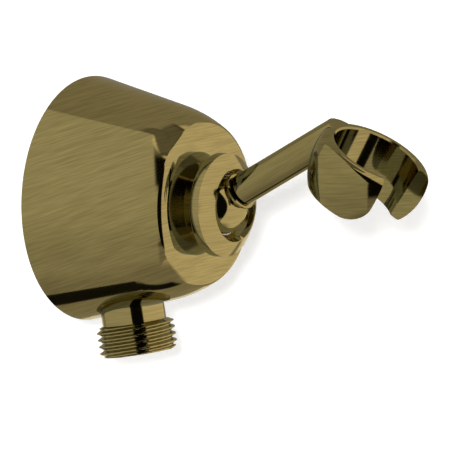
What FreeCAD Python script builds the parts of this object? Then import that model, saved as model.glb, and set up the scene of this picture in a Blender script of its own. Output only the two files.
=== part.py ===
import FreeCAD, Part
import math
import os
import Sketcher

# Hand shower holder with wall supply outlet, millimetres.
# Frame: origin at the centre of the wall face, +Z up, the fitting stands out
# from the wall along -Y.  "s" below is the distance from the wall, s = -y.

doc = FreeCAD.newDocument("hand_shower_holder")
sheet = doc.addObject("Spreadsheet::Sheet", "Sizes")
V = FreeCAD.Vector

# ---------------------------------------------------------------- sizes
TABLE = [
    # cone shaped body
    ("rim_rad", 32.5), ("body_len", 37.3), ("taper", 0.25), ("shoulder_at", 25.52), ("shoulder_curve", 37.96),
    ("edge_out", 21.8439), ("edge_at", 35.84348), ("edge_rad", 3.0), ("face_rad", 19.27141),
    ("shell_wall", 3.2), ("cavity_depth", 19.0), ("hub_rad", 14.5), ("core_fillet", 2.0),
    ("rebate_out", 30.9), ("rebate_deep", 1.2),
    # wall gasket
    ("gasket_in", 28.2), ("gasket_out", 30.8),
    # inlet socket, G1/2 inside thread drawn at its core size
    ("inlet_rad", 9.3155), ("inlet_long", 9.5), ("relief_rad", 10.6), ("inlet_deep", 12.0), ("way_rad", 6.6),
    ("way_end", 19.5), ("port_rad", 2.0), ("port_apart", 2.2), ("port_lean", 17.16),
    ("filter_out", 9.2), ("filter_in", 6.2), ("filter_thick", 2.0), ("mesh_rad", 6.9),
    ("mesh_thick", 0.4), ("mesh_hole", 0.65), ("mesh_pitch", 1.9),
    # front bore for the swivel
    ("bore_rad", 11.5), ("bore_end", 27.0),
    # outlet axis
    ("outlet_tilt", 8.2), ("outlet_back", 7.5), ("outlet_boss", 11.4),
    # outlet nipple, G1/2 outside thread drawn at its crest size
    ("nip_core", 7.9), ("nip_start", 16.5), ("nip_neck", 8.53), ("nip_seat", 24.0),
    ("nip_thread", 33.0), ("nip_crest", 10.4775), ("nip_end", 41.3), ("nip_cham", 0.95),
    ("nip_way", 5.2), ("nip_bore", 7.5), ("nip_shelf", 27.5),
    ("ring_out", 8.75), ("ring_wire", 0.8), ("ring_at", 23.1),
    # check valve cartridge
    ("cart_rad", 7.42), ("cart_start", 27.6), ("cart_end", 37.2), ("cart_in", 6.0),
    ("cart_port", 3.9), ("cart_lip", 2.2), ("cart_groove", 6.5), ("cart_ring", 0.55), ("cart_ring_at", 32.6),
    ("pop_rad", 4.7), ("pop_thick", 1.3), ("pop_stem", 1.1), ("pop_long", 8.4),
    ("seal_rad", 4.3), ("seal_thick", 0.7),
    ("guide_thick", 1.6), ("guide_hub", 2.0), ("guide_hole", 1.18), ("guide_rim", 6.4), ("guide_arm", 1.3),
    ("coil_rad", 3.0), ("coil_wire", 0.25), ("coil_turns", 4.0),
    # swivel ball
    ("ball_at", 40.3), ("ball_rad", 8.0), ("ball_gap", 0.05),
    ("neck_rad", 3.0), ("bead_rad", 5.0), ("bead_start", 7.45), ("bead_end", 8.6), ("bead_edge", 0.3),
    ("bead_hole", 3.05), ("arm_start", 9.0), ("neck_end", 8.7),
    ("stud_rad", 2.5), ("stud_end", 19.0),
    # retaining collar
    ("spigot_rad", 11.45), ("spigot_start", 30.5), ("collar_in", 10.4), ("collar_neck", 11.7),
    ("head_start", 40.6), ("head_rad", 13.65), ("head_front", 13.6), ("head_end", 43.18), ("dome_rad", 60.0),
    ("lip_out", 9.9), ("lip_at", 45.85),
    ("lip_in", 9.6), ("mouth_in", 7.95), ("shelf_at", 42.6), ("mouth_at", 43.0), ("head_round", 0.35),
    # seats behind and in front of the ball
    ("seat_out", 10.33), ("rear_back", 29.8), ("rear_front", 37.0), ("rear_hole", 3.5),
    ("front_back", 40.7),
    ("washer_in", 4.2), ("washer_out", 10.2), ("washer_thick", 1.0),
    ("disc_out", 10.6), ("disc_in", 5.2), ("disc_thick", 0.8),
    # arm
    ("arm_rise", 28.2), ("arm_rad", 4.2), ("arm_hole", 2.56), ("arm_hole_end", 20.5), ("arm_long", 60.0), ("arm_edge", 0.4),
    # cradle ring
    ("cradle_out", 90.5), ("cradle_up", 15.4), ("cradle_tilt", 32.1), ("cradle_high", 15.3),
    ("cradle_max", 15.6), ("cradle_max_at", 5.2), ("cradle_bulge", 20.0),
    ("cradle_top_round", 2.2), ("cradle_low_round", 1.0),
    ("socket_top", 11.95), ("socket_low", 11.0), ("socket_cham", 0.45), ("slot_right", 8.0), ("slot_left", 46.0), ("lip_round", 7.0),
]
SIZE = {}
for row, (alias, number) in enumerate(TABLE, start=1):
    sheet.set("A%d" % row, alias)
    sheet.set("B%d" % row, repr(number))
    sheet.setAlias("B%d" % row, alias)
    SIZE[alias] = number
doc.recompute()


class Dim:
    """A size with its value and the sheet expression that drives it."""

    def __init__(self, value, text):
        self.v = float(value)
        self.e = text

    def _w(o):
        return o if isinstance(o, Dim) else Dim(o, repr(float(o)))

    def __add__(self, o):
        o = Dim._w(o)
        return Dim(self.v + o.v, "(%s + %s)" % (self.e, o.e))

    def __sub__(self, o):
        o = Dim._w(o)
        return Dim(self.v - o.v, "(%s - %s)" % (self.e, o.e))

    def __mul__(self, o):
        o = Dim._w(o)
        return Dim(self.v * o.v, "(%s * %s)" % (self.e, o.e))

    def __truediv__(self, o):
        o = Dim._w(o)
        return Dim(self.v / o.v, "(%s / %s)" % (self.e, o.e))

    def __neg__(self):
        return Dim(-self.v, "(-1 * %s)" % self.e)

    __radd__ = __add__

    def __rsub__(self, o):
        return Dim._w(o) - self


def S(name):
    return Dim(SIZE[name], "Sizes.%s" % name)


def root(a, b):
    """Other leg of a right triangle with hypotenuse a and leg b."""
    return Dim(math.sqrt(a.v ** 2 - b.v ** 2), "sqrt(%s * %s - %s * %s)" % (a.e, a.e, b.e, b.e))


def plane_of(body, role):
    for o in body.Origin.OriginFeatures:
        if getattr(o, "Role", "") == role:
            return o
    raise RuntimeError("no " + role)


def place(obj, x=None, y=None, z=None, tilt=None):
    """Placement bound to the sheet: a tilt about X, then a base point."""
    obj.Placement = FreeCAD.Placement(
        V(x.v if x else 0, y.v if y else 0, z.v if z else 0),
        FreeCAD.Rotation(V(1, 0, 0), tilt.v if tilt else 0))
    if y:
        obj.setExpression(".Placement.Base.y", y.e)
    if z:
        obj.setExpression(".Placement.Base.z", z.e)
    if tilt:
        obj.Placement = FreeCAD.Placement(obj.Placement.Base, FreeCAD.Rotation(V(1, 0, 0), tilt.v))
        obj.setExpression(".Placement.Rotation.Angle", tilt.e)


def outline(body, name, role, pts, offset=None):
    """Closed outline in a sketch on the body's own plane.

    pts: (x, y) pairs of Dim or number, or (x, y, radius, side) when the
    segment that starts there is an arc; side +1 has its centre on the left.
    """
    sk = body.newObject("Sketcher::SketchObject", name)
    sk.AttachmentSupport = [(plane_of(body, role), "")]
    sk.MapMode = "FlatFace"
    if offset is not None:
        sk.AttachmentOffset = offset
    n = len(pts)
    P = []
    for p in pts:
        P.append((Dim._w(p[0]), Dim._w(p[1])))
    for i in range(n):
        a = V(P[i][0].v, P[i][1].v, 0)
        j = (i + 1) % n
        b = V(P[j][0].v, P[j][1].v, 0)
        if len(pts[i]) > 2:
            rad, side = Dim._w(pts[i][2]), pts[i][3]
            mid = (a + b) * 0.5
            d = b - a
            L = d.Length
            left = V(-d.y, d.x, 0) * (1.0 / L)
            h = math.sqrt(max(rad.v ** 2 - L * L / 4.0, 0.0))
            c = mid + left * (h * side)
            if side > 0:
                a0 = math.atan2(a.y - c.y, a.x - c.x)
                a1 = math.atan2(b.y - c.y, b.x - c.x)
            else:
                a0 = math.atan2(b.y - c.y, b.x - c.x)
                a1 = math.atan2(a.y - c.y, a.x - c.x)
            if a1 < a0:
                a1 += 2 * math.pi
            sk.addGeometry(Part.ArcOfCircle(Part.Circle(c, V(0, 0, 1), rad.v), a0, a1), False)
        else:
            sk.addGeometry(Part.LineSegment(a, b), False)

    def start(i):
        i %= n
        if len(pts[i]) > 2 and pts[i][3] < 0:
            return 2
        return 1

    def end(i):
        return 3 - start(i)
    for i in range(n):
        j = (i + 1) % n
        sk.addConstraint(Sketcher.Constraint("Coincident", i, end(i), j, start(j)))
    for i in range(n):
        for k, kind in ((0, "DistanceX"), (1, "DistanceY")):
            dim = P[i][k]
            if abs(dim.v) < 1e-9:
                # on an axis: -1 is the horizontal axis, -2 the vertical one
                sk.addConstraint(Sketcher.Constraint("PointOnObject", i, start(i), -2 if k == 0 else -1))
                continue
            idx = sk.addConstraint(Sketcher.Constraint(kind, -1, 1, i, start(i), dim.v))
            if "Sizes." in dim.e:
                sk.setExpression("Constraints[%d]" % idx, dim.e)
    for i in range(n):
        if len(pts[i]) > 2:
            rad = Dim._w(pts[i][2])
            idx = sk.addConstraint(Sketcher.Constraint("Radius", i, rad.v))
            if "Sizes." in rad.e:
                sk.setExpression("Constraints[%d]" % idx, rad.e)
    return sk


def turned(label, role, pts, axis="V_Axis"):
    """A turned piece: one outline revolved about a sketch axis."""
    body = doc.addObject("PartDesign::Body", label)
    body.Label = label
    sk = outline(body, label + "_outline", role, pts)
    rev = body.newObject("PartDesign::Revolution", label + "_turn")
    rev.Profile = sk
    rev.ReferenceAxis = (sk, [axis])
    rev.Angle = 360.0
    body.Tip = rev
    doc.recompute()
    return body


def circle_edges(body, radius, test):
    """Names of the circular edges of one radius that pass a test."""
    out = []
    for i, e in enumerate(body.Shape.Edges, start=1):
        c = e.Curve
        if hasattr(c, "Radius") and abs(c.Radius - radius) < 1e-4 and e.Closed and test(c.Center):
            out.append("Edge%d" % i)
    return out


def rounded(body, name, size, edges):
    before = body.Tip
    f = body.newObject("PartDesign::Fillet", name)
    f.Base = (before, edges)
    f.Radius = size.v
    f.setExpression("Radius", size.e)
    body.Tip = f
    doc.recompute()
    return f


def chamfered(body, name, size, edges):
    before = body.Tip
    f = body.newObject("PartDesign::Chamfer", name)
    f.Base = (before, edges)
    f.Size = size.v
    f.setExpression("Size", size.e)
    body.Tip = f
    doc.recompute()
    return f


def boolean(kind, label, a, b):
    o = doc.addObject("Part::" + kind, label.replace(".", "_"))
    o.Base = a
    o.Tool = b
    o.Label = label
    doc.recompute()
    return o


PIECES = []


def keep(obj):
    PIECES.append(obj)
    return obj


# ---------------------------------------------------------------- body
# One casting: a cone with a curved shoulder and a flat face, a hollow back with the inlet
# hub in its middle, a boss for the outlet and a blind bore for the swivel.
slope = S("taper")
cone = turned("body_cone", "XY_Plane", [
    (0, 0), (S("rim_rad"), 0), (S("rim_rad") - slope * S("shoulder_at"), -S("shoulder_at"), S("shoulder_curve"), -1),
    (S("edge_out"), -S("edge_at"), S("edge_rad"), -1), (S("face_rad"), -S("body_len")), (0, -S("body_len"))])
hollow = turned("body_hollow", "XY_Plane", [
    (S("hub_rad"), 2.0), (S("rim_rad") - S("shell_wall"), 2.0), (S("rim_rad") - S("shell_wall"), 0),
    (S("rim_rad") - S("shell_wall") - slope * S("cavity_depth"), -S("cavity_depth")),
    (S("hub_rad"), -S("cavity_depth"))])
rounded(hollow, "body_hollow_root", S("core_fillet"),
        circle_edges(hollow, SIZE["hub_rad"], lambda c: c.y < -10)
        + [n for n in circle_edges(hollow, (S("rim_rad") - S("shell_wall") - slope * S("cavity_depth")).v,
                                   lambda c: c.y < -10)])
rebate = turned("body_rebate", "XY_Plane", [
    (S("gasket_in") - 0.2, 2.0), (S("rebate_out"), 2.0), (S("rebate_out"), -S("rebate_deep")),
    (S("gasket_in") - 0.2, -S("rebate_deep"))])
inlet = turned("body_inlet", "XY_Plane", [
    (0, 2.0), (S("inlet_rad"), 2.0), (S("inlet_rad"), -S("inlet_long")), (S("relief_rad"), -S("inlet_long")),
    (S("relief_rad"), -S("inlet_deep")), (S("way_rad"), -S("inlet_deep")),
    (S("way_rad"), -S("way_end")), (0, -S("way_end") - S("way_rad") * 0.35)])
front = turned("body_front_bore", "XY_Plane", [
    (0, -S("bore_end")), (S("bore_rad"), -S("bore_end")), (S("bore_rad"), -S("body_len") - 3.0),
    (0, -S("body_len") - 3.0)])
# outlet boss and its stepped bore, about the leaning outlet axis (local -Z)
boss = doc.addObject("Part::Cylinder", "outlet_boss_bar")
boss.setExpression("Radius", "Sizes.outlet_boss")
boss.setExpression("Height", "Sizes.nip_end")
outlet = turned("body_outlet_bore", "XZ_Plane", [
    (0, -S("nip_start") + 0.7), (S("nip_way"), -S("nip_start") + 0.7), (S("nip_way"), -S("nip_start")),
    (S("nip_core") + 0.04, -S("nip_start")),
    (S("nip_core") + 0.04, -S("nip_seat") + 1.9), (S("ring_out") + 0.05, -S("nip_seat") + 1.9),
    (S("ring_out") + 0.05, -S("nip_seat")), (S("nip_neck") + 0.03, -S("nip_seat")), (S("nip_neck") + 0.03, -S("nip_end")),
    (0, -S("nip_end"))])


def on_outlet(obj):
    obj.Placement = FreeCAD.Placement(V(0, -SIZE["outlet_back"], 0),
                                      FreeCAD.Rotation(V(1, 0, 0), -SIZE["outlet_tilt"]))
    obj.setExpression(".Placement.Base.y", "-1 * Sizes.outlet_back")
    obj.setExpression(".Placement.Rotation.Angle", "-1 * Sizes.outlet_tilt")


on_outlet(outlet)
# the bar grows along local +Z, so it is turned half round to point down
boss.Placement = FreeCAD.Placement(V(0, -SIZE["outlet_back"], 0),
                                   FreeCAD.Rotation(V(1, 0, 0), 180.0 - SIZE["outlet_tilt"]))
boss.setExpression(".Placement.Base.y", "-1 * Sizes.outlet_back")
boss.setExpression(".Placement.Rotation.Angle", "180 - Sizes.outlet_tilt")
doc.recompute()
# two leaning passages carry the water from behind the inlet washer to the outlet
ports = []
for side, tag in ((1, "port_right"), (-1, "port_left")):
    port = doc.addObject("Part::Cylinder", tag)
    port.setExpression("Radius", "Sizes.port_rad")
    port.Height = 14.5
    port.Placement = FreeCAD.Placement(V(side * SIZE["port_apart"], -17.2, -3.0),
                                       FreeCAD.Rotation(V(1, 0, 0), 180.0 + SIZE["port_lean"]))
    port.setExpression(".Placement.Base.x", "%d * Sizes.port_apart" % side)
    port.setExpression(".Placement.Rotation.Angle", "180 + Sizes.port_lean")
    ports.append(port)
doc.recompute()
shell = boolean("Cut", "body_shell", cone, hollow)
boss_in = boolean("Common", "outlet_boss_trim", cone, boss)
joined = boolean("Fuse", "body_joined", shell, boss_in)
cut1 = boolean("Cut", "body_rebated", joined, rebate)
cut2 = boolean("Cut", "body_with_inlet", cut1, inlet)
cut3 = boolean("Cut", "body_with_front", cut2, front)
cut4 = boolean("Cut", "body_with_outlet", cut3, outlet)
cut5 = boolean("Cut", "body_with_port", cut4, ports[0])
body = keep(boolean("Cut", "body", cut5, ports[1]))

# ---------------------------------------------------------------- wall side
keep(turned("wall_gasket", "XY_Plane", [
    (S("gasket_in"), 0), (S("gasket_out"), 0), (S("gasket_out"), -S("rebate_deep")),
    (S("gasket_in"), -S("rebate_deep"))]))

# rubber washer at the bottom of the inlet, with a strainer let into it
keep(turned("inlet_washer", "XY_Plane", [
    (S("filter_in"), -S("inlet_deep") + S("filter_thick")), (S("filter_out"), -S("inlet_deep") + S("filter_thick")),
    (S("filter_out"), -S("inlet_deep")), (S("filter_in"), -S("inlet_deep")),
    (S("filter_in"), -S("inlet_deep") + 0.9), (S("mesh_rad"), -S("inlet_deep") + 0.9),
    (S("mesh_rad"), -S("inlet_deep") + 0.9 + S("mesh_thick")),
    (S("filter_in"), -S("inlet_deep") + 0.9 + S("mesh_thick"))]))

strainer = doc.addObject("PartDesign::Body", "inlet_strainer")
strainer.Label = "inlet_strainer"
sk = strainer.newObject("Sketcher::SketchObject", "strainer_disc")
sk.AttachmentSupport = [(plane_of(strainer, "XZ_Plane"), "")]
sk.MapMode = "FlatFace"
sk.addGeometry(Part.Circle(V(0, 0, 0), V(0, 0, 1), SIZE["mesh_rad"]), False)
sk.addConstraint(Sketcher.Constraint("Coincident", 0, 3, -1, 1))
sk.addConstraint(Sketcher.Constraint("Radius", 0, SIZE["mesh_rad"]))
sk.setExpression("Constraints[1]", "Sizes.mesh_rad - 0.02")
pad = strainer.newObject("PartDesign::Pad", "strainer_pad")
pad.Profile = sk
pad.Length = SIZE["mesh_thick"]
pad.setExpression("Length", "Sizes.mesh_thick")
doc.recompute()
sk2 = strainer.newObject("Sketcher::SketchObject", "strainer_holes")
sk2.AttachmentSupport = [(plane_of(strainer, "XZ_Plane"), "")]
sk2.MapMode = "FlatFace"
count = 0
for i in range(-3, 4):
    for j in range(-3, 4):
        k = i + j
        if abs(k) > 3:
            continue
        hx = SIZE["mesh_pitch"] * (i + 0.5 * j)
        hy = SIZE["mesh_pitch"] * j * math.sqrt(3) / 2
        if math.hypot(hx, hy) > SIZE["mesh_rad"] - 1.25:
            continue
        g = sk2.addGeometry(Part.Circle(V(hx, hy, 0), V(0, 0, 1), SIZE["mesh_hole"]), False)
        c = sk2.addConstraint(Sketcher.Constraint("Radius", g, SIZE["mesh_hole"]))
        sk2.setExpression("Constraints[%d]" % c, "Sizes.mesh_hole")
        for kind, val, txt in (("DistanceX", hx, "Sizes.mesh_pitch * %r" % (i + 0.5 * j)),
                               ("DistanceY", hy, "Sizes.mesh_pitch * %r" % (j * math.sqrt(3) / 2))):
            if abs(val) < 1e-9:
                sk2.addConstraint(Sketcher.Constraint("PointOnObject", g, 3, -2 if kind == "DistanceX" else -1))
            else:
                c = sk2.addConstraint(Sketcher.Constraint(kind, -1, 1, g, 3, val))
                sk2.setExpression("Constraints[%d]" % c, txt)
        count += 1
holes = strainer.newObject("PartDesign::Pocket", "strainer_pocket")
holes.Profile = sk2
holes.Type = 1
holes.Midplane = True
doc.recompute()
strainer.Tip = holes
strainer.Placement = FreeCAD.Placement(V(0, -SIZE["inlet_deep"] + 0.9 + (SIZE["mesh_thick"] if pad.Shape.BoundBox.YMin < -0.01 else 0), 0), FreeCAD.Rotation())
strainer.setExpression(".Placement.Base.y", "-1 * Sizes.inlet_deep + 0.9" + (" + Sizes.mesh_thick" if pad.Shape.BoundBox.YMin < -0.01 else ""))
doc.recompute()
keep(strainer)

# ---------------------------------------------------------------- outlet side
nipple = turned("outlet_nipple", "XZ_Plane", [
    (S("nip_way"), -S("nip_start")), (S("nip_core"), -S("nip_start")), (S("nip_core"), -S("nip_seat") + 0.0),
    (S("nip_neck"), -S("nip_seat")), (S("nip_neck"), -S("nip_thread")),
    (S("nip_crest"), -S("nip_thread") - (S("nip_crest") - S("nip_neck")) * 0.6),
    (S("nip_crest"), -S("nip_end") + S("nip_cham")), (S("nip_crest") - S("nip_cham"), -S("nip_end")),
    (S("nip_bore"), -S("nip_end")), (S("nip_bore"), -S("nip_shelf")), (S("nip_way"), -S("nip_shelf"))])
on_outlet(nipple)
keep(nipple)


def round_ring(label, role, centre_r, centre_z, wire):
    """O-ring: a full circle turned about the vertical sketch axis."""
    b = doc.addObject("PartDesign::Body", label)
    b.Label = label
    k = b.newObject("Sketcher::SketchObject", label + "_section")
    k.AttachmentSupport = [(plane_of(b, role), "")]
    k.MapMode = "FlatFace"
    k.addGeometry(Part.Circle(V(centre_r.v, centre_z.v, 0), V(0, 0, 1), wire.v), False)
    for kind, dim in (("DistanceX", centre_r), ("DistanceY", centre_z)):
        c = k.addConstraint(Sketcher.Constraint(kind, -1, 1, 0, 3, dim.v))
        k.setExpression("Constraints[%d]" % c, dim.e)
    c = k.addConstraint(Sketcher.Constraint("Radius", 0, wire.v))
    k.setExpression("Constraints[%d]" % c, wire.e)
    r = b.newObject("PartDesign::Revolution", label + "_turn")
    r.Profile = k
    r.ReferenceAxis = (k, ["V_Axis"])
    r.Angle = 360.0
    b.Tip = r
    doc.recompute()
    return b


oring = round_ring("nipple_seal", "XZ_Plane", S("ring_out") + 0.02 - S("ring_wire") * 0.5, -S("ring_at"), S("ring_wire") * 0.5)
on_outlet(oring)
keep(oring)

# check valve cartridge: housing with a seat at its inlet end
cart = turned("check_valve_housing", "XZ_Plane", [
    (S("cart_port"), -S("cart_start")), (S("cart_rad"), -S("cart_start")),
    (S("cart_rad"), -S("cart_ring_at") + 0.65), (S("cart_groove"), -S("cart_ring_at") + 0.65),
    (S("cart_groove"), -S("cart_ring_at") - 0.65), (S("cart_rad"), -S("cart_ring_at") - 0.65),
    (S("cart_rad"), -S("cart_end")), (S("cart_in"), -S("cart_end")),
    (S("cart_in"), -S("cart_start") - S("cart_lip")), (S("cart_port") + 0.4, -S("cart_start") - S("cart_lip")),
    (S("cart_port"), -S("cart_start") - S("cart_lip") + 0.4)])
on_outlet(cart)
keep(cart)

cring = round_ring("check_valve_seal", "XZ_Plane", S("cart_groove") + 0.03 + S("cart_ring") * 0.8, -S("cart_ring_at"), S("cart_ring") * 0.8)
on_outlet(cring)
keep(cring)

# poppet: a head under the seat, a stem that runs in the guide
head_top = S("cart_start") + S("cart_lip") + 0.12 + S("seal_thick")
poppet = turned("check_valve_poppet", "XZ_Plane", [
    (0, -head_top), (S("pop_rad"), -head_top), (S("pop_rad"), -head_top - S("pop_thick")),
    (S("pop_stem"), -head_top - S("pop_thick")), (S("pop_stem"), -head_top - S("pop_long")),
    (0, -head_top - S("pop_long"))])
on_outlet(poppet)
keep(poppet)
pseal = turned("poppet_seal", "XZ_Plane", [
    (0, -head_top + S("seal_thick") + 0.02), (S("seal_rad"), -head_top + S("seal_thick") + 0.02),
    (S("seal_rad") + 0.3, -head_top), (0, -head_top)])
on_outlet(pseal)
keep(pseal)

# guide: a rim, a hub and three arms at the outlet end of the cartridge
rim = turned("guide_rim_ring", "XZ_Plane", [
    (S("guide_rim") - 1.2, -S("cart_end")), (S("cart_rad") - 0.02, -S("cart_end")),
    (S("cart_rad") - 0.02, -S("cart_end") - S("guide_thick")), (S("guide_rim") - 1.2, -S("cart_end") - S("guide_thick"))])
hub = turned("guide_hub_ring", "XZ_Plane", [
    (S("guide_hole"), -S("cart_end") + 0.6), (S("guide_hub"), -S("cart_end") + 0.6),
    (S("guide_hub"), -S("cart_end") - S("guide_thick")), (S("guide_hole"), -S("cart_end") - S("guide_thick"))])
spoke = doc.addObject("PartDesign::Body", "guide_spokes")
ks = spoke.newObject("Sketcher::SketchObject", "guide_spoke_outline")
ks.AttachmentSupport = [(plane_of(spoke, "XY_Plane"), "")]
ks.MapMode = "FlatFace"
x0, x1, hw = SIZE["guide_hub"] - 0.3, SIZE["guide_rim"] - 0.8, SIZE["guide_arm"] / 2
cs = [V(x0, -hw, 0), V(x1, -hw, 0), V(x1, hw, 0), V(x0, hw, 0)]
for i in range(4):
    ks.addGeometry(Part.LineSegment(cs[i], cs[(i + 1) % 4]), False)
for i in range(4):
    ks.addConstraint(Sketcher.Constraint("Coincident", i, 2, (i + 1) % 4, 1))
for i in (0, 2):
    ks.addConstraint(Sketcher.Constraint("Horizontal", i))
for i in (1, 3):
    ks.addConstraint(Sketcher.Constraint("Vertical", i))
for kind, g, p, val, txt in (("DistanceX", 0, 1, x0, "Sizes.guide_hub - 0.3"),
                             ("DistanceX", 0, 2, x1, "Sizes.guide_rim - 0.8"),
                             ("DistanceY", 0, 1, -hw, "-0.5 * Sizes.guide_arm"),
                             ("DistanceY", 2, 1, hw, "0.5 * Sizes.guide_arm")):
    c = ks.addConstraint(Sketcher.Constraint(kind, -1, 1, g, p, val))
    ks.setExpression("Constraints[%d]" % c, txt)
ks.AttachmentOffset = FreeCAD.Placement(V(0, 0, -SIZE["cart_end"] - SIZE["guide_thick"]), FreeCAD.Rotation())
ks.setExpression(".AttachmentOffset.Base.z", "-1 * Sizes.cart_end - Sizes.guide_thick")
pd = spoke.newObject("PartDesign::Pad", "guide_spoke_pad")
pd.Profile = ks
pd.Length = SIZE["guide_thick"]
pd.setExpression("Length", "Sizes.guide_thick")
doc.recompute()
pp = spoke.newObject("PartDesign::PolarPattern", "guide_spoke_pattern")
pp.Originals = [pd]
pp.Axis = (plane_of(spoke, "Z_Axis"), [""])
pp.Angle = 360
pp.Occurrences = 3
spoke.Tip = pp
doc.recompute()
g1 = boolean("Fuse", "guide_rim_and_hub", rim, hub)
guide = boolean("Fuse", "check_valve_guide", g1, spoke)
on_outlet(guide)
keep(guide)

# light coil spring between the poppet head and the guide
coil_top = head_top + S("pop_thick") + S("coil_wire") + 0.02
coil_low = S("cart_end") - 0.02 - S("coil_wire")
helix = doc.addObject("Part::Helix", "spring_path")
helix.setExpression("Radius", "Sizes.coil_rad")
helix.setExpression("Height", (coil_low - coil_top).e)
helix.setExpression("Pitch", "(%s) / Sizes.coil_turns" % (coil_low - coil_top).e)
wire = doc.addObject("Part::RegularPolygon", "spring_section")
wire.Polygon = 8
wire.setExpression("Circumradius", "Sizes.coil_wire")
wire.Placement = FreeCAD.Placement(V(SIZE["coil_rad"], 0, 0), FreeCAD.Rotation(V(1, 0, 0), 90))
wire.setExpression(".Placement.Base.x", "Sizes.coil_rad")
doc.recompute()
coil = doc.addObject("Part::Sweep", "check_valve_spring")
coil.Sections = [wire]
coil.Spine = (helix, ["Edge%d" % (i + 1) for i in range(len(helix.Shape.Edges))])
coil.Solid = True
coil.Frenet = True
coil.Label = "check_valve_spring"
low = coil_low + S("outlet_back") * 0.0
tl = math.radians(SIZE["outlet_tilt"])
coil.Placement = FreeCAD.Placement(
    V(0, -SIZE["outlet_back"] - low.v * math.sin(tl), -low.v * math.cos(tl)),
    FreeCAD.Rotation(V(1, 0, 0), -SIZE["outlet_tilt"]))
coil.setExpression(".Placement.Base.y", "-1 * Sizes.outlet_back - %s * sin(Sizes.outlet_tilt)" % low.e)
coil.setExpression(".Placement.Base.z", "-1 * %s * cos(Sizes.outlet_tilt)" % low.e)
coil.setExpression(".Placement.Rotation.Angle", "-1 * Sizes.outlet_tilt")
doc.recompute()
keep(coil)

# ---------------------------------------------------------------- swivel
# conical disc spring, steel washer and rear seat behind the ball
keep(turned("disc_spring", "XY_Plane", [
    (S("disc_out"), -S("bore_end")), (S("disc_out"), -S("bore_end") - S("disc_thick")),
    (S("disc_in"), -S("rear_back") + S("washer_thick")),
    (S("disc_in"), -S("rear_back") + S("washer_thick") + S("disc_thick"))]))
keep(turned("thrust_washer", "XY_Plane", [
    (S("washer_in"), -S("rear_back") + S("washer_thick")), (S("washer_out"), -S("rear_back") + S("washer_thick")),
    (S("washer_out"), -S("rear_back")), (S("washer_in"), -S("rear_back"))]))

seat_r = S("ball_rad") + S("ball_gap")
rf = root(seat_r, S("ball_at") - S("rear_front"))
rh = root(seat_r, S("rear_hole"))
keep(turned("rear_seat", "XY_Plane", [
    (S("rear_hole"), -S("rear_back")), (S("seat_out"), -S("rear_back")), (S("seat_out"), -S("rear_front")),
    (rf, -S("rear_front"), seat_r, +1), (S("rear_hole"), rh - S("ball_at"))]))
fa = root(seat_r, S("front_back") - S("ball_at"))
fb = root(seat_r, S("shelf_at") - S("ball_at"))
keep(turned("front_seat", "XY_Plane", [
    (fb, -S("shelf_at")), (S("seat_out"), -S("shelf_at")), (S("seat_out"), -S("front_back")),
    (fa, -S("front_back"), seat_r, -1)]))

# retaining collar: threaded spigot, neck, round head with a domed front
collar = turned("collar", "XY_Plane", [
    (S("collar_in"), -S("spigot_start")), (S("spigot_rad"), -S("spigot_start")), (S("spigot_rad"), -S("body_len")),
    (S("collar_neck"), -S("body_len")), (S("head_rad"), -S("head_start")),
    (S("head_front"), -S("head_end"), S("dome_rad"), -1), (S("lip_out"), -S("lip_at")), (S("lip_in"), -S("lip_at")),
    (S("mouth_in"), -S("mouth_at")), (S("mouth_in"), -S("shelf_at")), (S("collar_in"), -S("shelf_at"))])
rounded(collar, "collar_round", S("head_round"),
        circle_edges(collar, SIZE["head_rad"], lambda c: True))
keep(collar)

# ball, neck and threaded stud turned in one piece, with a loose ring on the neck
bf = root(S("ball_rad"), S("neck_rad"))
ball = turned("ball_stem", "XY_Plane", [
    (0, S("ball_rad"), S("ball_rad"), -1), (S("neck_rad"), -bf),
    (S("neck_rad"), -S("neck_end")), (S("stud_rad"), -S("neck_end")), (S("stud_rad"), -S("stud_end")),
    (0, -S("stud_end"))])
place(ball, y=-S("ball_at"), tilt=-S("arm_rise"))
keep(ball)
bead = turned("stem_ring", "XY_Plane", [
    (S("bead_hole"), -S("bead_start")), (S("bead_rad") - S("bead_edge"), -S("bead_start")),
    (S("bead_rad"), -S("bead_start") - S("bead_edge")), (S("bead_rad"), -S("bead_end") + S("bead_edge")),
    (S("bead_rad") - S("bead_edge"), -S("bead_end")), (S("bead_hole"), -S("bead_end"))])
place(bead, y=-S("ball_at"), tilt=-S("arm_rise"))
keep(bead)

# ---------------------------------------------------------------- holder arm
# A round arm brazed to the slotted cradle that takes the hand shower. The
# ring is drawn in its own frame, rim centre at the origin and axis +Z.
ring = turned("cradle_blank", "XZ_Plane", [
    (0, -S("cradle_high")), (S("cradle_max") - S("cradle_bulge") + root(S("cradle_bulge"), S("cradle_high") - S("cradle_max_at")), -S("cradle_high"),
                             S("cradle_bulge"), +1),
    (S("cradle_max") - S("cradle_bulge") + root(S("cradle_bulge"), S("cradle_max_at")), 0), (0, 0)])
top_r = (S("cradle_max") - S("cradle_bulge") + root(S("cradle_bulge"), S("cradle_max_at"))).v
low_r = (S("cradle_max") - S("cradle_bulge") + root(S("cradle_bulge"), S("cradle_high") - S("cradle_max_at"))).v
rounded(ring, "cradle_top_edge", S("cradle_top_round"), circle_edges(ring, top_r, lambda c: c.z > -0.1))
rounded(ring, "cradle_low_edge", S("cradle_low_round"), circle_edges(ring, low_r, lambda c: c.z < -10))


def on_cradle(obj):
    obj.Placement = FreeCAD.Placement(V(0, -SIZE["cradle_out"], SIZE["cradle_up"]),
                                      FreeCAD.Rotation(V(1, 0, 0), SIZE["cradle_tilt"]))
    obj.setExpression(".Placement.Base.y", "-1 * Sizes.cradle_out")
    obj.setExpression(".Placement.Base.z", "Sizes.cradle_up")
    obj.setExpression(".Placement.Rotation.Angle", "Sizes.cradle_tilt")


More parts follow.
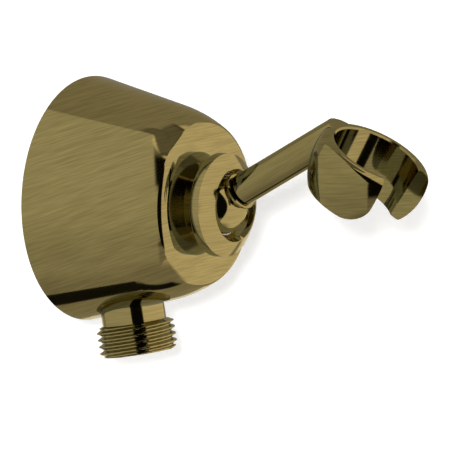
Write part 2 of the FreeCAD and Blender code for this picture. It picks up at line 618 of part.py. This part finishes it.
on_cradle(ring)
socket = turned("cradle_socket", "XZ_Plane", [
    (0, -S("cradle_high") - 2.0), (S("socket_low"), -S("cradle_high") - 2.0), (S("socket_low"), -S("cradle_high")),
    (S("socket_top"), -S("socket_cham")), (S("socket_top") + S("socket_cham"), 0),
    (S("socket_top") + S("socket_cham"), 14.0), (0, 14.0)])
on_cradle(socket)
# everything of the arm above the rim plane is trimmed off
over = doc.addObject("Part::Box", "over_rim")
for p, v in (("Length", 60.0), ("Width", 60.0), ("Height", 40.0)):
    setattr(over, p, v)
# slot: its right face is straight, its left face looks at the ring's axis
wedge = doc.addObject("PartDesign::Body", "cradle_slot")
sl = math.radians(SIZE["slot_left"])
fx = Dim(math.sin(sl), "sin(Sizes.slot_left)")
fy = Dim(math.cos(sl), "cos(Sizes.slot_left)")
ws = outline(wedge, "cradle_slot_outline", "XY_Plane",
             [(-fx * 6.0, -fy * 6.0), (-fx * 32.0, -fy * 32.0), (S("slot_right"), -30.0), (S("slot_right"), -5.0)],
             offset=FreeCAD.Placement(V(0, 0, -24.0), FreeCAD.Rotation()))
wp = wedge.newObject("PartDesign::Pad", "cradle_slot_pad")
wp.Profile = ws
wp.Length = 34.0
wedge.Tip = wp
doc.recompute()
on_cradle(wedge)
# cutter for the round lower corner of the left lip, in its own frame: +X runs
# back from the slot face into the lip, +Y outwards along the face
corner = doc.addObject("Part::Box", "lip_corner_block")
corner.setExpression("Length", "Sizes.lip_round + 4")
corner.setExpression("Width", "24")
corner.setExpression("Height", "Sizes.lip_round + 4")
corner.Placement = FreeCAD.Placement(V(-4, 6, -SIZE["cradle_high"] - 4), FreeCAD.Rotation())
corner.setExpression(".Placement.Base.z", "-1 * Sizes.cradle_high - 4")
rod = doc.addObject("Part::Cylinder", "lip_corner_round")
rod.setExpression("Radius", "Sizes.lip_round")
rod.Height = 30.0
rod.Placement = FreeCAD.Placement(V(SIZE["lip_round"], 4, SIZE["lip_round"] - SIZE["cradle_high"]),
                                  FreeCAD.Rotation(V(1, 0, 0), -90))
rod.setExpression(".Placement.Base.x", "Sizes.lip_round")
rod.setExpression(".Placement.Base.z", "Sizes.lip_round - Sizes.cradle_high")
doc.recompute()
cutter = boolean("Cut", "lip_corner_cutter", corner, rod)
# turned so that its face lies on the left slot face, then tilted with the ring
cutter.Placement = FreeCAD.Placement(V(0, -SIZE["cradle_out"], SIZE["cradle_up"]),
                                     FreeCAD.Rotation(V(1, 0, 0), SIZE["cradle_tilt"])).multiply(
    FreeCAD.Placement(V(0, 0, 0), FreeCAD.Rotation(V(0, 0, 1), 180 - SIZE["slot_left"])))
cutter.setExpression(".Placement.Base.y", "-1 * Sizes.cradle_out")
cutter.setExpression(".Placement.Base.z", "Sizes.cradle_up")
doc.recompute()
c3 = math.cos(math.radians(SIZE["cradle_tilt"]))
s3 = math.sin(math.radians(SIZE["cradle_tilt"]))
over.Placement = FreeCAD.Placement(V(-30, -SIZE["cradle_out"] - 30 * c3, SIZE["cradle_up"] - 30 * s3),
                                   FreeCAD.Rotation(V(1, 0, 0), SIZE["cradle_tilt"]))
over.setExpression(".Placement.Base.y", "-1 * Sizes.cradle_out - 30 * cos(Sizes.cradle_tilt)")
over.setExpression(".Placement.Base.z", "Sizes.cradle_up - 30 * sin(Sizes.cradle_tilt)")
over.setExpression(".Placement.Rotation.Angle", "Sizes.cradle_tilt")
bar = turned("arm_bar", "XY_Plane", [
    (0, -S("arm_start")), (S("arm_rad") - S("arm_edge"), -S("arm_start")), (S("arm_rad"), -S("arm_start") - S("arm_edge")),
    (S("arm_rad"), -S("arm_long")), (0, -S("arm_long"))])
place(bar, y=-S("ball_at"), tilt=-S("arm_rise"))
drill = turned("arm_drill", "XY_Plane", [
    (0, -S("arm_start") + 2.0), (S("arm_hole"), -S("arm_start") + 2.0), (S("arm_hole"), -S("arm_hole_end")),
    (0, -S("arm_hole_end") - 1.5)])
place(drill, y=-S("ball_at"), tilt=-S("arm_rise"))
doc.recompute()
a1 = boolean("Cut", "arm_trimmed", bar, over)
a2 = boolean("Cut", "arm_coped", a1, ring)
a3 = boolean("Cut", "arm_with_socket", a2, socket)
keep(boolean("Cut", "arm", a3, drill))
r1 = boolean("Cut", "ring_bored", ring, socket)
r2 = boolean("Cut", "ring_slotted", r1, wedge)
keep(boolean("Cut", "cradle", r2, cutter))

# ---------------------------------------------------------------- checks and export
doc.recompute()
bad = []
for o in doc.Objects:
    if any(w in o.State for w in ("Invalid", "Error")):
        bad.append("%s %s" % (o.Label, o.State))
for o in PIECES:
    sh = o.Shape
    if sh.isNull() or not sh.isValid() or sh.Volume <= 0:
        bad.append("%s has a bad shape" % o.Label)
if bad:
    raise RuntimeError("; ".join(bad))
os.makedirs("parts", exist_ok=True)
for o in PIECES:
    o.Shape.exportStep("parts/%s.step" % o.Label)
    bb = o.Shape.BoundBox
    print("%-22s solids %d volume %9.2f  x %.1f..%.1f  y %.1f..%.1f  z %.1f..%.1f" % (
        o.Label, len(o.Shape.Solids), o.Shape.Volume, bb.XMin, bb.XMax, bb.YMin, bb.YMax, bb.ZMin, bb.ZMax))
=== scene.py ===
import math
import bpy
import bmesh
from mathutils import Matrix, Vector


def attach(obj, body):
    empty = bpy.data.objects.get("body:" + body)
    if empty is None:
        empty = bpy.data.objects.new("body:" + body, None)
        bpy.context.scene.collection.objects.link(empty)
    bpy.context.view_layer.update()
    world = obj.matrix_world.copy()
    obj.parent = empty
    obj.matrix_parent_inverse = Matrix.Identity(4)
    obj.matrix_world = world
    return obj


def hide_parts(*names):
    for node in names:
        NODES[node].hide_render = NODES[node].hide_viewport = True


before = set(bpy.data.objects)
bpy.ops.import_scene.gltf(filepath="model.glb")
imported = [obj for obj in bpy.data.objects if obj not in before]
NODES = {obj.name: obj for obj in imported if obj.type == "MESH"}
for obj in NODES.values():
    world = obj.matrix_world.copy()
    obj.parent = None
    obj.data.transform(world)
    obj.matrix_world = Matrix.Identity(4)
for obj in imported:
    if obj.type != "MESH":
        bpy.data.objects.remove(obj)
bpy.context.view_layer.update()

# Sizes are metres in the row frame: origin at the centre of the wall face,
# the fitting stands out along -Y, +Z is up.
scene = bpy.context.scene


# ------------------------------------------------------------ node helpers
class Net:
    """Short hand for a shader tree."""

    def __init__(self, tree):
        self.t = tree

    def new(self, kind, **props):
        n = self.t.nodes.new(kind)
        for k, v in props.items():
            setattr(n, k, v)
        return n

    def put(self, socket, value):
        if isinstance(value, bpy.types.NodeSocket):
            self.t.links.new(value, socket)
        else:
            socket.default_value = value

    def math(self, op, a, b=None, c=None, clamp=False):
        n = self.new("ShaderNodeMath", operation=op, use_clamp=clamp)
        self.put(n.inputs[0], a)
        if b is not None:
            self.put(n.inputs[1], b)
        if c is not None:
            self.put(n.inputs[2], c)
        return n.outputs[0]

    def step(self, x, a, b):
        """0 below a, 1 above b, smooth between. b < a makes it fall."""
        n = self.new("ShaderNodeMapRange", interpolation_type="SMOOTHSTEP")
        if a <= b:
            lo_, hi_, t0, t1 = a, b, 0.0, 1.0
        else:
            lo_, hi_, t0, t1 = b, a, 1.0, 0.0
        self.put(n.inputs["Value"], x)
        self.put(n.inputs["From Min"], lo_)
        self.put(n.inputs["From Max"], hi_)
        self.put(n.inputs["To Min"], t0)
        self.put(n.inputs["To Max"], t1)
        return n.outputs["Result"]

    def ramp(self, x, a, b, t0, t1):
        n = self.new("ShaderNodeMapRange", interpolation_type="LINEAR")
        for name, v in (("Value", x), ("From Min", a), ("From Max", b), ("To Min", t0), ("To Max", t1)):
            self.put(n.inputs[name], v)
        return n.outputs["Result"]

    def mix(self, f, a, b):
        n = self.new("ShaderNodeMix", data_type="RGBA")
        self.put(n.inputs["Factor"], f)
        self.put(n.inputs["A"], a if isinstance(a, bpy.types.NodeSocket) or len(a) == 4 else (*a, 1.0))
        self.put(n.inputs["B"], b if isinstance(b, bpy.types.NodeSocket) or len(b) == 4 else (*b, 1.0))
        return n.outputs["Result"]

    def mixf(self, f, a, b):
        n = self.new("ShaderNodeMix", data_type="FLOAT")
        self.put(n.inputs["Factor"], f)
        self.put(n.inputs["A"], a)
        self.put(n.inputs["B"], b)
        return n.outputs["Result"]


# ------------------------------------------------------------ studio
# The studio is drawn by direction: a soft box on the left, a wide bright one
# in front on the right, unlit gaps between them, a dim ceiling and a pale floor.
world = bpy.data.worlds.new("studio")
scene.world = world
world.use_nodes = True
wt = world.node_tree
wt.nodes.clear()
W = Net(wt)
way = W.new("ShaderNodeTexCoord").outputs["Generated"]
sep = W.new("ShaderNodeSeparateXYZ")
wt.links.new(way, sep.inputs[0])
dx, dy, dz = sep.outputs
DEG = 57.29578
az = W.math("MULTIPLY", W.math("ARCTAN2", dx, W.math("MULTIPLY", dy, -1.0)), DEG)
el = W.math("MULTIPLY", W.math("ARCSINE", dz), DEG)
el2 = W.math("MULTIPLY", el, el)
# left box
left = W.step(az, -61.0, -64.5)
# right box: its near edge runs closer to the left one high up and low down
edge = W.math("ADD", W.math("ADD", az, W.math("MULTIPLY", el2, 0.0075)), 20.0)
right = W.math("MULTIPLY", W.step(edge, -3.0, 2.0), W.step(az, 96.0, 86.0))
back = W.step(az, 86.0, 96.0)
low = W.step(el, -58.0, -80.0)
A_COL, A_LOW, B_COL, C_COL = (0.415, 0.425, 0.430), (0.315, 0.322, 0.328), (0.625, 0.600, 0.590), (0.25, 0.25, 0.25)
gap = W.mix(W.step(el, -43.0, -50.0), (0.004, 0.004, 0.004), (0.20, 0.20, 0.20))
gap = W.mix(W.step(el, 58.0, 70.0), gap, (0.22, 0.22, 0.22))
col = W.mix(left, gap, W.mix(W.step(el, 5.0, -50.0), A_COL, A_LOW))
col = W.mix(right, col, B_COL)
col = W.mix(back, col, C_COL)
# dim strip over the right box, darkest along its edge, and a dim ceiling
above = W.math("MULTIPLY", W.step(el, 62.0, 64.0), W.math("MULTIPLY", W.step(az, -58.0, -50.0), W.step(az, 100.0, 92.0)))
col = W.mix(above, col, W.mix(W.step(el, 64.0, 69.0), (0.085, 0.085, 0.085), (0.13, 0.13, 0.13)))
ceiling = W.math("MULTIPLY", W.step(el, 79.0, 80.5), W.step(az, -50.0, -38.0))
col = W.mix(ceiling, col, W.mix(W.step(el, 80.5, 82.5), (0.115, 0.115, 0.115), (0.135, 0.135, 0.135)))
# floor
col = W.mix(low, col, (0.225, 0.225, 0.23))
# dark skirting low down behind the object
skirt = W.math("MULTIPLY", W.step(el, -63.5, -65.0), W.step(el, -77.0, -74.0))
skirt = W.math("MULTIPLY", skirt, W.step(az, 97.0, 103.0))
col = W.mix(skirt, col, (0.008, 0.008, 0.008))
# white wall straight behind the object
da = W.math("SUBTRACT", az, 128.0)
de = W.math("ADD", el, 19.0)
lobe = W.math("SQRT", W.math("ADD", W.math("MULTIPLY", W.math("MULTIPLY", da, da), 0.10), W.math("MULTIPLY", de, de)))
col = W.mix(W.step(lobe, 14.0, 9.0), col, (0.75, 0.75, 0.75))
path = W.new("ShaderNodeLightPath")
# what reaches the lens after two reflections between parts is dimmer and less warm
twice = W.math("MULTIPLY", W.math("GREATER_THAN", path.outputs["Ray Depth"], 2.5), path.outputs["Is Glossy Ray"])
cool = W.new("ShaderNodeMix", data_type="RGBA", blend_type="MULTIPLY")
W.put(cool.inputs["Factor"], twice)
W.put(cool.inputs["A"], col)
W.put(cool.inputs["B"], (0.46, 0.64, 1.45, 1.0))
col = cool.outputs["Result"]
bg = W.new("ShaderNodeBackground")
wt.links.new(col, bg.inputs["Color"])
white = W.new("ShaderNodeBackground")
white.inputs["Color"].default_value = (1.0, 1.0, 1.0, 1.0)
pick = W.new("ShaderNodeMixShader")
wt.links.new(path.outputs["Is Camera Ray"], pick.inputs[0])
wt.links.new(bg.outputs[0], pick.inputs[1])
wt.links.new(white.outputs[0], pick.inputs[2])
wo = W.new("ShaderNodeOutputWorld")
wt.links.new(pick.outputs[0], wo.inputs["Surface"])

scene.view_settings.view_transform = "Standard"
scene.view_settings.look = "None"
scene.view_settings.exposure = 0.0
scene.view_settings.gamma = 1.0

# ------------------------------------------------------------ camera
RIGHT = Vector((0.55467, -0.83135, -0.03460))
BACK = Vector((-0.82171, -0.55384, 0.13436)).normalized()
RIGHT = (RIGHT - BACK * RIGHT.dot(BACK)).normalized()
UP = BACK.cross(RIGHT)
EYE = Vector((-1.45999, -1.02753, 0.23239))
cam_data = bpy.data.cameras.new("camera")
cam = bpy.data.objects.new("camera", cam_data)
scene.collection.objects.link(cam)
m = Matrix.Identity(4)
for i, v in enumerate((RIGHT, UP, BACK, EYE)):
    for j in range(3):
        m[j][i] = v[j]
cam.matrix_world = m
cam_data.lens = 531.98
cam_data.sensor_width = 36.0
cam_data.clip_start = 0.01
cam_data.clip_end = 20.0
cam_data.dof.use_dof = False
scene.camera = cam


# ------------------------------------------------------------ backdrop
def pale(name, glow, one_sided):
    mat = bpy.data.materials.new(name)
    mat.use_nodes = True
    t = mat.node_tree
    t.nodes.clear()
    N = Net(t)
    dif = N.new("ShaderNodeBsdfDiffuse")
    dif.inputs["Color"].default_value = (0.90, 0.893, 0.875, 1.0)
    emi = N.new("ShaderNodeEmission")
    emi.inputs["Strength"].default_value = glow
    add = N.new("ShaderNodeAddShader")
    t.links.new(dif.outputs[0], add.inputs[0])
    t.links.new(emi.outputs[0], add.inputs[1])
    out = N.new("ShaderNodeOutputMaterial")
    if one_sided:
        geo = N.new("ShaderNodeNewGeometry")
        clear = N.new("ShaderNodeBsdfTransparent")
        mx = N.new("ShaderNodeMixShader")
        t.links.new(geo.outputs["Backfacing"], mx.inputs[0])
        t.links.new(add.outputs[0], mx.inputs[1])
        t.links.new(clear.outputs[0], mx.inputs[2])
        t.links.new(mx.outputs[0], out.inputs["Surface"])
    else:
        t.links.new(add.outputs[0], out.inputs["Surface"])
    return mat


def sheet(name, centre, u, v, half, mat):
    me = bpy.data.meshes.new(name)
    me.from_pydata([centre - u * half - v * half, centre + u * half - v * half,
                    centre + u * half + v * half, centre - u * half + v * half], [], [(0, 1, 2, 3)])
    ob = bpy.data.objects.new(name, me)
    scene.collection.objects.link(ob)
    me.materials.append(mat)
    ob.visible_glossy = False
    return ob


card_at = EYE - BACK * 1.832
card = sheet("backdrop", card_at, RIGHT, UP, 1.2, pale("backdrop_paper", 0.35, True))
floor = sheet("floor", Vector((0.0, 0.0, -0.30)), Vector((1, 0, 0)), Vector((0, 1, 0)), 2.5, pale("floor_paper", 0.42, True))

# one distant lamp close to the camera's line, up and to the left, for the soft shadow
sun_data = bpy.data.lights.new("key", "SUN")
sun_data.energy = 1.70
sun_data.angle = math.radians(6.5)
sun = bpy.data.objects.new("key", sun_data)
scene.collection.objects.link(sun)
aim = (BACK + UP * 0.085 - RIGHT * 0.065).normalized()
sun.rotation_mode = "QUATERNION"
sun.rotation_quaternion = aim.to_track_quat("Z", "Y")
sun.visible_glossy = False


# ------------------------------------------------------------ finishes
def brushed(name, colour, dark, rough, tilt_deg, turn=None, streak=1.0, grain=1.0):
    """Brushed brass. The strokes lie in planes that rise by tilt_deg towards
    the room; turn gives the strokes of a piece with its own direction."""
    mat = bpy.data.materials.new(name)
    mat.use_nodes = True
    t = mat.node_tree
    t.nodes.clear()
    N = Net(t)
    bsdf = N.new("ShaderNodeBsdfPrincipled")
    out = N.new("ShaderNodeOutputMaterial")
    t.links.new(bsdf.outputs[0], out.inputs["Surface"])
    co = N.new("ShaderNodeTexCoord").outputs["Object"]
    rot = N.new("ShaderNodeVectorRotate", rotation_type="EULER_XYZ")
    t.links.new(co, rot.inputs["Vector"])
    rot.inputs["Rotation"].default_value = turn or (math.radians(tilt_deg), 0.0, 0.0)

    def strokes(along, across, seed, detail):
        mp = N.new("ShaderNodeMapping")
        t.links.new(rot.outputs[0], mp.inputs["Vector"])
        mp.inputs["Scale"].default_value = (along, along, across)
        mp.inputs["Location"].default_value = (seed, seed * 0.37, seed * 1.7)
        nz = N.new("ShaderNodeTexNoise", noise_dimensions="3D")
        t.links.new(mp.outputs[0], nz.inputs["Vector"])
        nz.inputs["Scale"].default_value = 1.0
        nz.inputs["Detail"].default_value = detail
        nz.inputs["Roughness"].default_value = 0.6
        return nz.outputs["Fac"]

    fine = strokes(115.0, 2900.0, 3.1, 2.0)
    wide = strokes(45.0, 900.0, 11.7, 2.0)
    blot = strokes(70.0, 160.0, 23.9, 2.0)
    mixn = N.math("ADD", N.math("MULTIPLY", N.math("SUBTRACT", fine, 0.5), 2.7 * streak),
                  N.math("ADD", N.math("MULTIPLY", N.math("SUBTRACT", wide, 0.5), 0.8 * streak),
                         N.math("MULTIPLY", N.math("SUBTRACT", blot, 0.5), 0.35 * grain)))
    f = N.math("ADD", mixn, 0.5, clamp=True)
    base = N.mix(f, dark, colour)
    t.links.new(base, bsdf.inputs["Base Color"])
    bsdf.inputs["Metallic"].default_value = 1.0
    bsdf.inputs["IOR"].default_value = 1.5
    bsdf.inputs["Specular IOR Level"].default_value = 0.5
    bsdf.inputs["Specular Tint"].default_value = (1.0, 0.93, 0.72, 1.0)
    bsdf.inputs["Coat Weight"].default_value = 0.0
    bsdf.inputs["Sheen Weight"].default_value = 0.0
    bsdf.inputs["Anisotropic"].default_value = 0.0
    r = N.math("ADD", N.math("MULTIPLY", N.math("SUBTRACT", wide, 0.5), 0.05), rough)
    t.links.new(r, bsdf.inputs["Roughness"])
    bump = N.new("ShaderNodeBump")
    bump.inputs["Strength"].default_value = 0.10
    bump.inputs["Distance"].default_value = 0.00002
    t.links.new(fine, bump.inputs["Height"])
    t.links.new(bump.outputs[0], bsdf.inputs["Normal"])
    return mat


def plain(name, colour, metal, rough, scale=900.0, vary=0.12, bump_size=0.00002):
    mat = bpy.data.materials.new(name)
    mat.use_nodes = True
    t = mat.node_tree
    t.nodes.clear()
    N = Net(t)
    bsdf = N.new("ShaderNodeBsdfPrincipled")
    out = N.new("ShaderNodeOutputMaterial")
    t.links.new(bsdf.outputs[0], out.inputs["Surface"])
    co = N.new("ShaderNodeTexCoord").outputs["Object"]
    nz = N.new("ShaderNodeTexNoise")
    t.links.new(co, nz.inputs["Vector"])
    nz.inputs["Scale"].default_value = scale
    nz.inputs["Detail"].default_value = 3.0
    f = nz.outputs["Fac"]
    a = tuple(c * (1.0 - vary) for c in colour)
    b = tuple(min(1.0, c * (1.0 + vary)) for c in colour)
    t.links.new(N.mix(f, a, b), bsdf.inputs["Base Color"])
    t.links.new(N.ramp(f, 0.3, 0.7, rough - 0.05, rough + 0.05), bsdf.inputs["Roughness"])
    bsdf.inputs["Metallic"].default_value = metal
    bsdf.inputs["IOR"].default_value = 1.5
    bump = N.new("ShaderNodeBump")
    bump.inputs["Strength"].default_value = 0.3
    bump.inputs["Distance"].default_value = bump_size
    t.links.new(f, bump.inputs["Height"])
    t.links.new(bump.outputs[0], bsdf.inputs["Normal"])
    return mat


BRASS, DARK = (0.69, 0.535, 0.197), (0.505, 0.392, 0.140)
DIM, DIM_DARK = (0.585, 0.46, 0.168), (0.43, 0.337, 0.118)
m_body = brushed("brass_body", BRASS, DARK, 0.065, 19.0)
m_collar = brushed("brass_collar", BRASS, DARK, 0.07, 3.0, streak=0.9)
m_arm = brushed("brass_arm", DIM, DIM_DARK, 0.08, 0.0, turn=(math.radians(28.2), 0.0, 0.0), streak=0.8)
m_cradle = brushed("brass_cradle", DIM, DIM_DARK, 0.08, 0.0, turn=(math.radians(4.0), 0.0, 0.0))
m_ball = brushed("brass_ball", BRASS, DARK, 0.07, 3.0, streak=0.6)
m_nipple = brushed("brass_nipple", BRASS, DARK, 0.075, 8.2, streak=0.7)
m_rubber = plain("black_rubber", (0.025, 0.025, 0.026), 0.0, 0.6)
m_foam = plain("grey_gasket", (0.30, 0.30, 0.29), 0.0, 0.85, 1500.0, 0.2, 0.0001)
m_plastic = plain("white_plastic", (0.78, 0.78, 0.74), 0.0, 0.42)
m_steel = plain("bright_steel", (0.62, 0.61, 0.59), 1.0, 0.28)

FINISH = {
    "body": m_body, "collar": m_collar, "arm": m_arm, "cradle": m_cradle, "ball_stem": m_ball,
    "stem_ring": m_ball, "outlet_nipple": m_nipple,
    "wall_gasket": m_foam, "inlet_washer": m_rubber, "inlet_strainer": m_steel, "nipple_seal": m_rubber,
    "check_valve_housing": m_plastic, "check_valve_seal": m_rubber, "check_valve_poppet": m_plastic,
    "poppet_seal": m_rubber, "check_valve_guide": m_plastic, "check_valve_spring": m_steel,
    "disc_spring": m_steel, "thrust_washer": m_steel, "rear_seat": m_plastic, "front_seat": m_plastic,
}


def smooth(ob, deg):
    me = ob.data
    me.shade_smooth()
    me.set_sharp_from_angle(angle=math.radians(deg))


for name, ob in NODES.items():
    ob.data.materials.clear()
    ob.data.materials.append(FINISH[name])
    smooth(ob, 24.0)

# ------------------------------------------------------------ outlet nipple with its thread
# Same outline as the solid, with the thread drawn as a real helix, 14 to the inch.
TILT = math.radians(8.2)
O_AX = Vector((0.0, -math.sin(TILT), -math.cos(TILT)))
O_AT = Vector((0.0, -0.0075, 0.0))
O_U = Vector((1.0, 0.0, 0.0))
O_V = O_AX.cross(O_U)
PITCH, CREST, CORE = 1.814, 10.44, 9.34
SEAT_END, T0, T1 = 33.0, 33.9, 41.3
PHASE = 0.0


def thread_radius(a, d):
    """Radius in mm at angle a (radians) and distance d (mm) down the axis."""
    ph = (d / PITCH - a / (2 * math.pi) + PHASE) % 1.0
    tri = abs(ph - 0.5) * 2.0          # 1 at the root, 0 at the crest
    tri = min(max((tri - 0.14) / 0.72, 0.0), 1.0)
    tri = tri * tri * (3 - 2 * tri) * 0.35 + tri * 0.65
    r = CREST - (CREST - CORE) * tri
    top = min(CREST, 8.53 + max(0.0, d - 33.0) * 2.2)      # run-in below the neck
    end = CREST - max(0.0, d - (T1 - 1.0)) * 1.0            # chamfer at the free end
    return min(r, top, end)


def nipple():
    cols = 160
    rows = []
    inner = [(5.2, 16.5), (7.9, 16.5), (7.9, 24.0), (8.53, 24.0), (8.53, 33.0)]
    for r, d in inner:
        rows.append(("ring", r, d))
    n = 104
    for i in range(n + 1):
        rows.append(("thread", None, 33.0 + (T1 - 33.0) * i / n))
    for r, d in [(9.2, T1), (7.75, T1), (7.5, T1 - 0.25), (7.5, 27.5), (5.2, 27.5)]:
        rows.append(("ring", r, d))
    verts, faces = [], []
    for kind, r, d in rows:
        for k in range(cols):
            a = 2 * math.pi * k / cols
            rr = thread_radius(a, d) if kind == "thread" else r
            p = O_AT + O_AX * (d / 1000.0) + (O_U * math.cos(a) + O_V * math.sin(a)) * (rr / 1000.0)
            verts.append(p)
    m_ = len(rows)
    for i in range(m_):
        j = (i + 1) % m_
        for k in range(cols):
            l = (k + 1) % cols
            faces.append((i * cols + k, i * cols + l, j * cols + l, j * cols + k))
    me = bpy.data.meshes.new("outlet_nipple_threaded")
    me.from_pydata([tuple(v) for v in verts], [], faces)
    bm = bmesh.new()
    bm.from_mesh(me)
    bmesh.ops.recalc_face_normals(bm, faces=bm.faces)
    bm.to_mesh(me)
    bm.free()
    ob = bpy.data.objects.new("outlet_nipple_threaded", me)
    scene.collection.objects.link(ob)
    me.materials.append(m_nipple)
    smooth(ob, 32.0)
    return ob


nip = nipple()
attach(nip, "fixed")
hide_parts("outlet_nipple")
